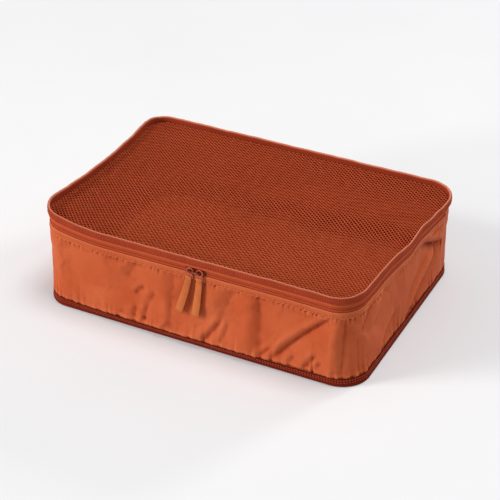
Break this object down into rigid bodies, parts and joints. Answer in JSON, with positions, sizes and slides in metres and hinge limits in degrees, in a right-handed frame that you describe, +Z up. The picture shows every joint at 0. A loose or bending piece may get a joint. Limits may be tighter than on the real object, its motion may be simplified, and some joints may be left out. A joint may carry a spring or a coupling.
{
  "type": "packing cube",
  "caption": "Soft rectangular travel case with a mesh lid that hinges at the back, a zip round three sides and two sliders with strap pull tabs.",
  "frame": {"origin": "middle of the footprint, on the surface that the case stands on", "axes": "+X along the long side, -Y towards the side with the zip pulls, +Z up through the lid"},
  "size_m": [0.36, 0.262, 0.1],
  "materials": {
    "nylon": "smooth nylon taffeta with a soft sheen, terracotta",
    "binding": "fine ribbed grosgrain tape, terracotta",
    "zip_tape": "woven zip tape, terracotta",
    "zip_coil": "satin nylon coil, terracotta",
    "mesh": "open polyester mesh, terracotta",
    "painted_slider": "satin enamel over cast zinc, terracotta",
    "pull_tab": "smooth matte imitation leather, orange brown"
  },
  "bodies": {
    "base": {"bottom_panel": "nylon", "side_wall": "nylon", "back_wall": "nylon", "bottom_binding": "binding", "seam_bindings": "binding", "lower_zip_tape": "zip_tape", "lower_zip_coil": "zip_coil", "zip_stops": "zip_coil"},
    "lid": {"mesh_panel": "mesh", "lid_binding": "binding", "lid_band": "nylon", "hinge_strip": "nylon", "upper_zip_tape": "zip_tape", "upper_zip_coil": "zip_coil"},
    "slider_left": {"slider_left": "painted_slider"},
    "slider_right": {"slider_right": "painted_slider"},
    "puller_left": {"puller_left": "painted_slider"},
    "puller_right": {"puller_right": "painted_slider"},
    "tab_left": {"tab_left": "pull_tab"},
    "tab_right": {"tab_right": "pull_tab"}
  },
  "joints": [
    {"name": "lid_hinge", "type": "hinge", "parent": "base", "child": "lid", "pos_m": [0, 0.1302, 0.0883], "axis": [-1, 0, 0], "range_deg": [0, 180]},
    {"name": "slider_left_slide", "type": "slide", "parent": "base", "child": "slider_left", "axis": [-1, 0, 0], "range_m": [0, 0.08]},
    {"name": "slider_right_slide", "type": "slide", "parent": "base", "child": "slider_right", "axis": [1, 0, 0], "range_m": [0, 0.08]},
    {"name": "puller_left_swing", "type": "hinge", "parent": "slider_left", "child": "puller_left", "pos_m": [0.0024, -0.12975, 0.0858], "axis": [0, 1, 0], "range_deg": [-5, 79]},
    {"name": "puller_right_swing", "type": "hinge", "parent": "slider_right", "child": "puller_right", "pos_m": [0.013, -0.12975, 0.0858], "axis": [0, -1, 0], "range_deg": [-3, 93]},
    {"name": "tab_left_fold", "type": "hinge", "parent": "puller_left", "child": "tab_left", "pos_m": [0.00107, -0.12975, 0.07883], "axis": [-0.9823, 0, 0.1874], "range_deg": [0, 135]},
    {"name": "tab_right_fold", "type": "hinge", "parent": "puller_right", "child": "tab_right", "pos_m": [0.01252, -0.12975, 0.07872], "axis": [-0.9977, 0, 0.068], "range_deg": [0, 135]}
  ]
}
